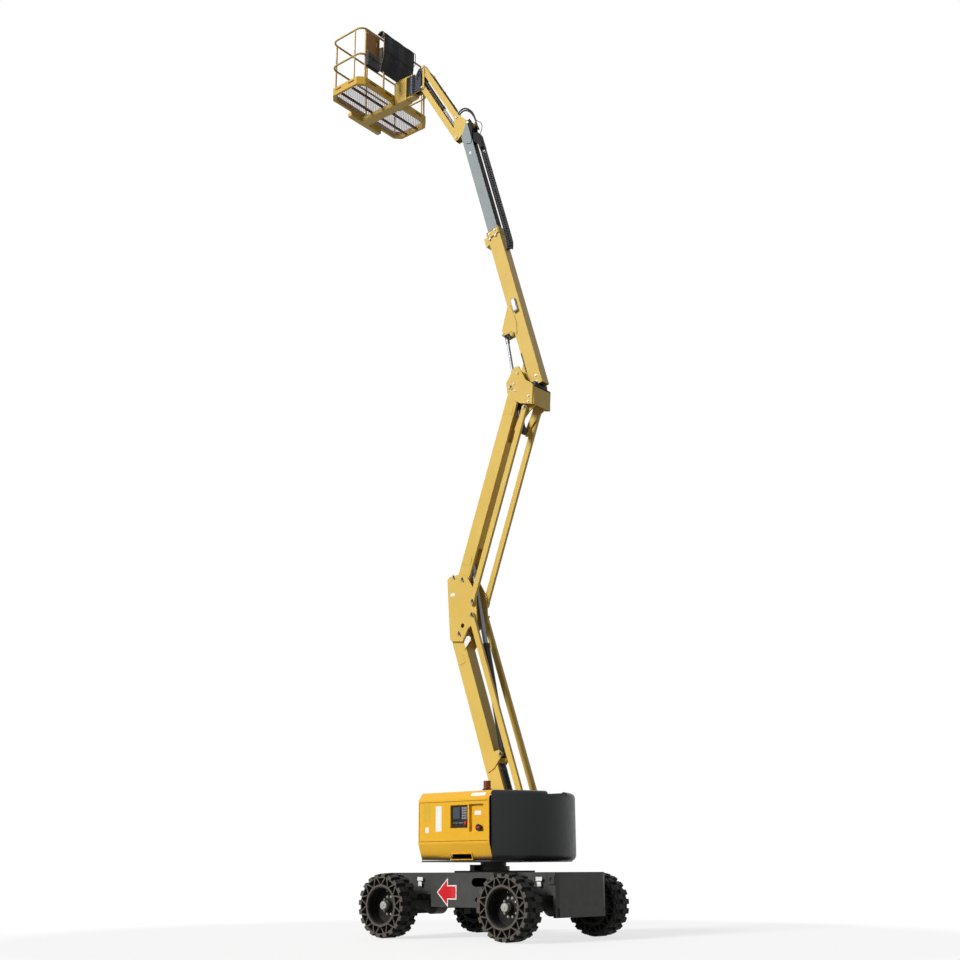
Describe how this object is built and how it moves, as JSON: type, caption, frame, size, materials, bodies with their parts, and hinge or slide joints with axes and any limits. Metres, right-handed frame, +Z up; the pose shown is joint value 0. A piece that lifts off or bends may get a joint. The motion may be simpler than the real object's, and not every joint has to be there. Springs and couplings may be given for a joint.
{
  "type": "articulating boom lift",
  "caption": "Self-propelled articulating work platform: wheeled chassis, slewing turret, parallelogram riser, telescopic boom, levelled jib and a railed basket that turns.",
  "frame": {"origin": "on the ground, below the middle of the whole machine's bounding box with the booms raised as stored", "axes": "+X the direction of travel, towards the basket; +Y the machine's left; +Z up"},
  "size_m": [4.4618, 2.3, 15.2753],
  "materials": {
    "tyre": "matt",
    "rim_black": "satin",
    "chassis_grey": "satin",
    "slew_steel": "greased",
    "cast_grey": "satin painted",
    "hood_yellow": "gloss",
    "hood_yellow_metal": "satin",
    "arm_yellow": "satin",
    "rail_yellow": "painted satin",
    "boom_grey": "satin",
    "black_metal": "satin",
    "chrome": "polished",
    "black_plastic": "matt",
    "cover_fabric": "coated fabric",
    "floor_steel": "expanded mesh",
    "plate_brown": "satin",
    "engine_alloy": "cast",
    "beacon_amber": "clear gloss"
  },
  "bodies": {
    "chassis": {"chassis_frame": "chassis_grey", "axle_front": "chassis_grey", "axle_rear": "chassis_grey", "slew_ring": "slew_steel", "lashing_eye_front_left": "chassis_grey", "lashing_eye_front_right": "chassis_grey", "lashing_eye_rear_left": "chassis_grey", "lashing_eye_rear_right": "chassis_grey"},
    "knuckle_front_left": {"knuckle_front_left": "chassis_grey"},
    "knuckle_front_right": {"knuckle_front_right": "chassis_grey"},
    "knuckle_rear_left": {"knuckle_rear_left": "chassis_grey"},
    "knuckle_rear_right": {"knuckle_rear_right": "chassis_grey"},
    "wheel_front_left": {"tyre_front_left": "tyre", "rim_front_left": "rim_black"},
    "wheel_front_right": {"tyre_front_right": "tyre", "rim_front_right": "rim_black"},
    "wheel_rear_left": {"tyre_rear_left": "tyre", "rim_rear_left": "rim_black"},
    "wheel_rear_right": {"tyre_rear_right": "tyre", "rim_rear_right": "rim_black"},
    "turret": {"turret_frame": "chassis_grey", "counterweight": "cast_grey", "engine_block": "engine_alloy"},
    "hood_left": {"hood_left": "hood_yellow", "ground_panel": "black_plastic", "isolator_knob": "black_plastic", "beacon": "beacon_amber"},
    "hood_right": {"hood_right": "hood_yellow"},
    "lower_arm": {"lower_arm": "arm_yellow"},
    "lower_rods": {"lower_rod_left": "arm_yellow", "lower_rod_right": "arm_yellow"},
    "mid_link": {"mid_link": "arm_yellow"},
    "upper_arm": {"upper_arm": "arm_yellow"},
    "upper_rods": {"upper_rod_left": "arm_yellow", "upper_rod_right": "arm_yellow"},
    "head_link": {"head_link": "arm_yellow"},
    "riser_barrel": {"riser_barrel": "black_metal"},
    "riser_rod": {"riser_rod": "chrome"},
    "main_boom": {"main_boom": "arm_yellow"},
    "boom_barrel": {"boom_barrel": "black_metal"},
    "boom_rod": {"boom_rod": "chrome"},
    "fly": {"fly_boom": "boom_grey", "hose_carrier": "black_plastic"},
    "jib_foot": {"jib_foot": "arm_yellow"},
    "jib_upper": {"jib_upper_bar": "arm_yellow"},
    "jib_lower": {"jib_lower_bar": "arm_yellow"},
    "jib_barrel": {"jib_barrel": "black_metal"},
    "jib_rod": {"jib_rod": "chrome"},
    "basket_bracket": {"basket_bracket": "arm_yellow"},
    "basket": {"basket_support": "arm_yellow", "basket_tray": "hood_yellow_metal", "basket_floor": "floor_steel", "basket_rails": "rail_yellow", "control_console": "black_plastic", "console_cover": "cover_fabric", "rear_plate": "plate_brown", "document_box": "black_plastic"}
  },
  "joints": [
    {"name": "steer_front_left", "type": "hinge", "parent": "chassis", "child": "knuckle_front_left", "pos_m": [0.29911, 0.76, 0.42], "axis": [0, 0, 1], "range_deg": [-25, 25]},
    {"name": "roll_front_left", "type": "hinge", "parent": "knuckle_front_left", "child": "wheel_front_left", "pos_m": [0.29911, 0.99, 0.42], "axis": [0, 1, 0], "continuous": true},
    {"name": "steer_front_right", "type": "hinge", "parent": "chassis", "child": "knuckle_front_right", "pos_m": [0.29911, -0.76, 0.42], "axis": [0, 0, 1], "range_deg": [-25, 25]},
    {"name": "roll_front_right", "type": "hinge", "parent": "knuckle_front_right", "child": "wheel_front_right", "pos_m": [0.29911, -0.99, 0.42], "axis": [0, 1, 0], "continuous": true},
    {"name": "steer_rear_left", "type": "hinge", "parent": "chassis", "child": "knuckle_rear_left", "pos_m": [-1.80089, 0.76, 0.42], "axis": [0, 0, 1], "range_deg": [-25, 25]},
    {"name": "roll_rear_left", "type": "hinge", "parent": "knuckle_rear_left", "child": "wheel_rear_left", "pos_m": [-1.80089, 0.99, 0.42], "axis": [0, 1, 0], "continuous": true},
    {"name": "steer_rear_right", "type": "hinge", "parent": "chassis", "child": "knuckle_rear_right", "pos_m": [-1.80089, -0.76, 0.42], "axis": [0, 0, 1], "range_deg": [-25, 25]},
    {"name": "roll_rear_right", "type": "hinge", "parent": "knuckle_rear_right", "child": "wheel_rear_right", "pos_m": [-1.80089, -0.99, 0.42], "axis": [0, 1, 0], "continuous": true},
    {"name": "slew", "type": "hinge", "parent": "chassis", "child": "turret", "pos_m": [-0.75089, 0, 0.985], "axis": [0, 0, 1], "continuous": true},
    {"name": "hood_left_open", "type": "hinge", "parent": "turret", "child": "hood_left", "pos_m": [-0.81339, 0.2285, 1.883], "axis": [1, 0, 0], "range_deg": [0, 60]},
    {"name": "hood_right_open", "type": "hinge", "parent": "turret", "child": "hood_right", "pos_m": [-0.81339, -0.2285, 1.883], "axis": [-1, 0, 0], "range_deg": [0, 60]},
    {"name": "riser_lift", "type": "hinge", "parent": "turret", "child": "lower_arm", "pos_m": [-1.23889, 0, 1.15], "axis": [0, -1, 0], "range_deg": [-68.1, 2]},
    {"name": "lower_rods_turn", "type": "hinge", "parent": "turret", "child": "lower_rods", "pos_m": [-1.52289, 0, 1.39], "axis": [0, -1, 0], "range_deg": [-68.6, 2.5]},
    {"name": "mid_link_level", "type": "hinge", "parent": "lower_arm", "child": "mid_link", "pos_m": [-0.21903, 0, 4.21582], "axis": [0, -1, 0], "range_deg": [-2.5, 68.6]},
    {"name": "upper_arm_lift", "type": "hinge", "parent": "mid_link", "child": "upper_arm", "pos_m": [-0.27803, 0, 5.02682], "axis": [0, -1, 0], "range_deg": [-2.42, 65.82]},
    {"name": "upper_rods_turn", "type": "hinge", "parent": "mid_link", "child": "upper_rods", "pos_m": [-0.51203, 0, 4.65682], "axis": [0, -1, 0], "range_deg": [-2.42, 65.82]},
    {"name": "head_link_level", "type": "hinge", "parent": "upper_arm", "child": "head_link", "pos_m": [-1.30667, 0, 7.82259], "axis": [0, -1, 0], "range_deg": [-65.82, 2.42]},
    {"name": "riser_barrel_turn", "type": "hinge", "parent": "lower_arm", "child": "riser_barrel", "pos_m": [-0.95981, 0, 2.42931], "axis": [0, -1, 0], "range_deg": [-0.95, 15.7]},
    {"name": "riser_rod_slide", "type": "slide", "parent": "riser_barrel", "child": "riser_rod", "axis": [0.1979, 0, 0.9802], "range_m": [-1.08574, 0.04159]},
    {"name": "boom_lift", "type": "hinge", "parent": "head_link", "child": "main_boom", "pos_m": [-1.45667, 0, 8.01759], "axis": [0, -1, 0], "range_deg": [-71, 1]},
    {"name": "boom_barrel_turn", "type": "hinge", "parent": "head_link", "child": "boom_barrel", "pos_m": [-1.37667, 0, 7.17059], "axis": [0, -1, 0], "range_deg": [-36.61, 1.01]},
    {"name": "boom_rod_slide", "type": "slide", "parent": "boom_barrel", "child": "boom_rod", "axis": [0.1745, 0, 0.9847], "range_m": [-0.53424, 0.01738]},
    {"name": "telescope", "type": "slide", "parent": "main_boom", "child": "fly", "axis": [0.2756, 0, 0.9613], "range_m": [-1.75, 0.1]},
    {"name": "jib_foot_level", "type": "hinge", "parent": "fly", "child": "jib_foot", "pos_m": [-0.3735, 0, 12.86168], "axis": [0, -1, 0], "range_deg": [-1.5, 71.5]},
    {"name": "jib_lift", "type": "hinge", "parent": "jib_foot", "child": "jib_upper", "pos_m": [-0.1065, 0, 13.08268], "axis": [0, -1, 0], "range_deg": [-129.3, 10.7]},
    {"name": "jib_lower_turn", "type": "hinge", "parent": "jib_foot", "child": "jib_lower", "pos_m": [-0.1065, 0, 12.68768], "axis": [0, -1, 0], "range_deg": [-129.8, 11.2]},
    {"name": "basket_level", "type": "hinge", "parent": "jib_upper", "child": "basket_bracket", "pos_m": [0.68739, 0, 14.41975], "axis": [0, -1, 0], "range_deg": [-11.2, 129.8]},
    {"name": "jib_barrel_turn", "type": "hinge", "parent": "jib_upper", "child": "jib_barrel", "pos_m": [0.7496, 0, 14.31885], "axis": [0, -1, 0], "range_deg": [-0.59, 1.6]},
    {"name": "jib_rod_slide", "type": "slide", "parent": "jib_barrel", "child": "jib_rod", "axis": [-0.5017, 0, -0.8651], "range_m": [-0.4596, 0.04721]},
    {"name": "basket_turn", "type": "hinge", "parent": "basket_bracket", "child": "basket", "pos_m": [0.93739, 0, 14.02475], "axis": [0, 0, 1], "range_deg": [-90, 90]}
  ],
  "couplings": [
    {"joint": "steer_front_right", "follows": "steer_front_left", "ratio": 1},
    {"joint": "steer_rear_right", "follows": "steer_rear_left", "ratio": 1},
    {"joint": "lower_rods_turn", "follows": "riser_lift", "ratio": 1},
    {"joint": "mid_link_level", "follows": "riser_lift", "ratio": -1},
    {"joint": "upper_arm_lift", "follows": "riser_lift", "ratio": -0.9592},
    {"joint": "upper_rods_turn", "follows": "riser_lift", "ratio": -0.9592},
    {"joint": "head_link_level", "follows": "riser_lift", "ratio": 0.9592},
    {"joint": "riser_barrel_turn", "follows": "riser_lift", "ratio": -0.22327},
    {"joint": "riser_rod_slide", "follows": "riser_lift", "m_per_rad": 0.90507},
    {"joint": "boom_barrel_turn", "follows": "boom_lift", "ratio": 0.50855},
    {"joint": "boom_rod_slide", "follows": "boom_lift", "m_per_rad": 0.42305},
    {"joint": "jib_foot_level", "follows": "boom_lift", "ratio": -1},
    {"joint": "jib_lower_turn", "follows": "jib_lift", "ratio": 1},
    {"joint": "basket_level", "follows": "jib_lift", "ratio": -1},
    {"joint": "jib_barrel_turn", "follows": "jib_lift", "ratio": -0.00853},
    {"joint": "jib_rod_slide", "follows": "jib_lift", "m_per_rad": 0.19923}
  ]
}
